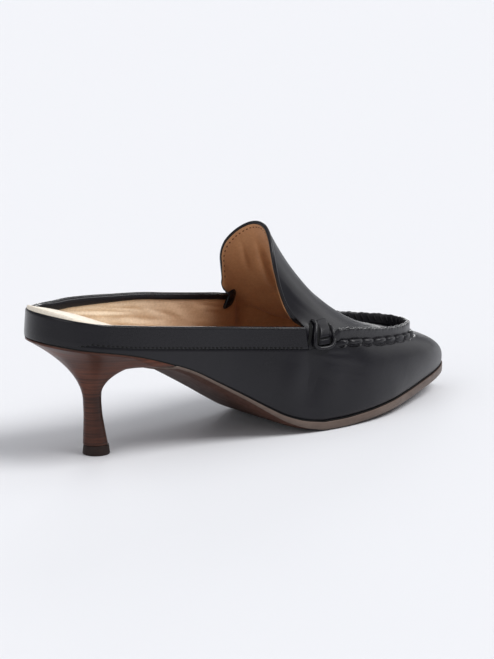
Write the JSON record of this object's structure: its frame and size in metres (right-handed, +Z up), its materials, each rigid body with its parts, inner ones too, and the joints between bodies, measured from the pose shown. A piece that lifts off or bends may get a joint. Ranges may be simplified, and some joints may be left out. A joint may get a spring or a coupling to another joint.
{
  "type": "mule shoe",
  "caption": "Right leather mule with a moccasin apron, high tongue, open back, side tabs, pointed toe and flared kitten heel.",
  "frame": {"origin": "centre of the bounding box in plan, on the floor that the heel tip and the forefoot stand on", "axes": "+X to the toe, +Y to the inner side of the right foot, +Z up"},
  "size_m": [0.2388, 0.0734, 0.0945],
  "materials": {
    "upper_leather": "smooth black calf, soft sheen",
    "sole_leather": "brown waxed sole leather",
    "lining_leather": "matt tan lining, cream sock at the heel",
    "stacked_heel": "stained dark brown stacked leather, waxed",
    "top_piece": "matt dark brown rubber"
  },
  "bodies": {
    "root": {"upper": "upper_leather", "outsole": "sole_leather", "insole": "lining_leather", "heel": "stacked_heel", "heel_tip": "top_piece", "tab_lateral": "upper_leather", "tab_medial": "upper_leather"}
  },
  "joints": []
}
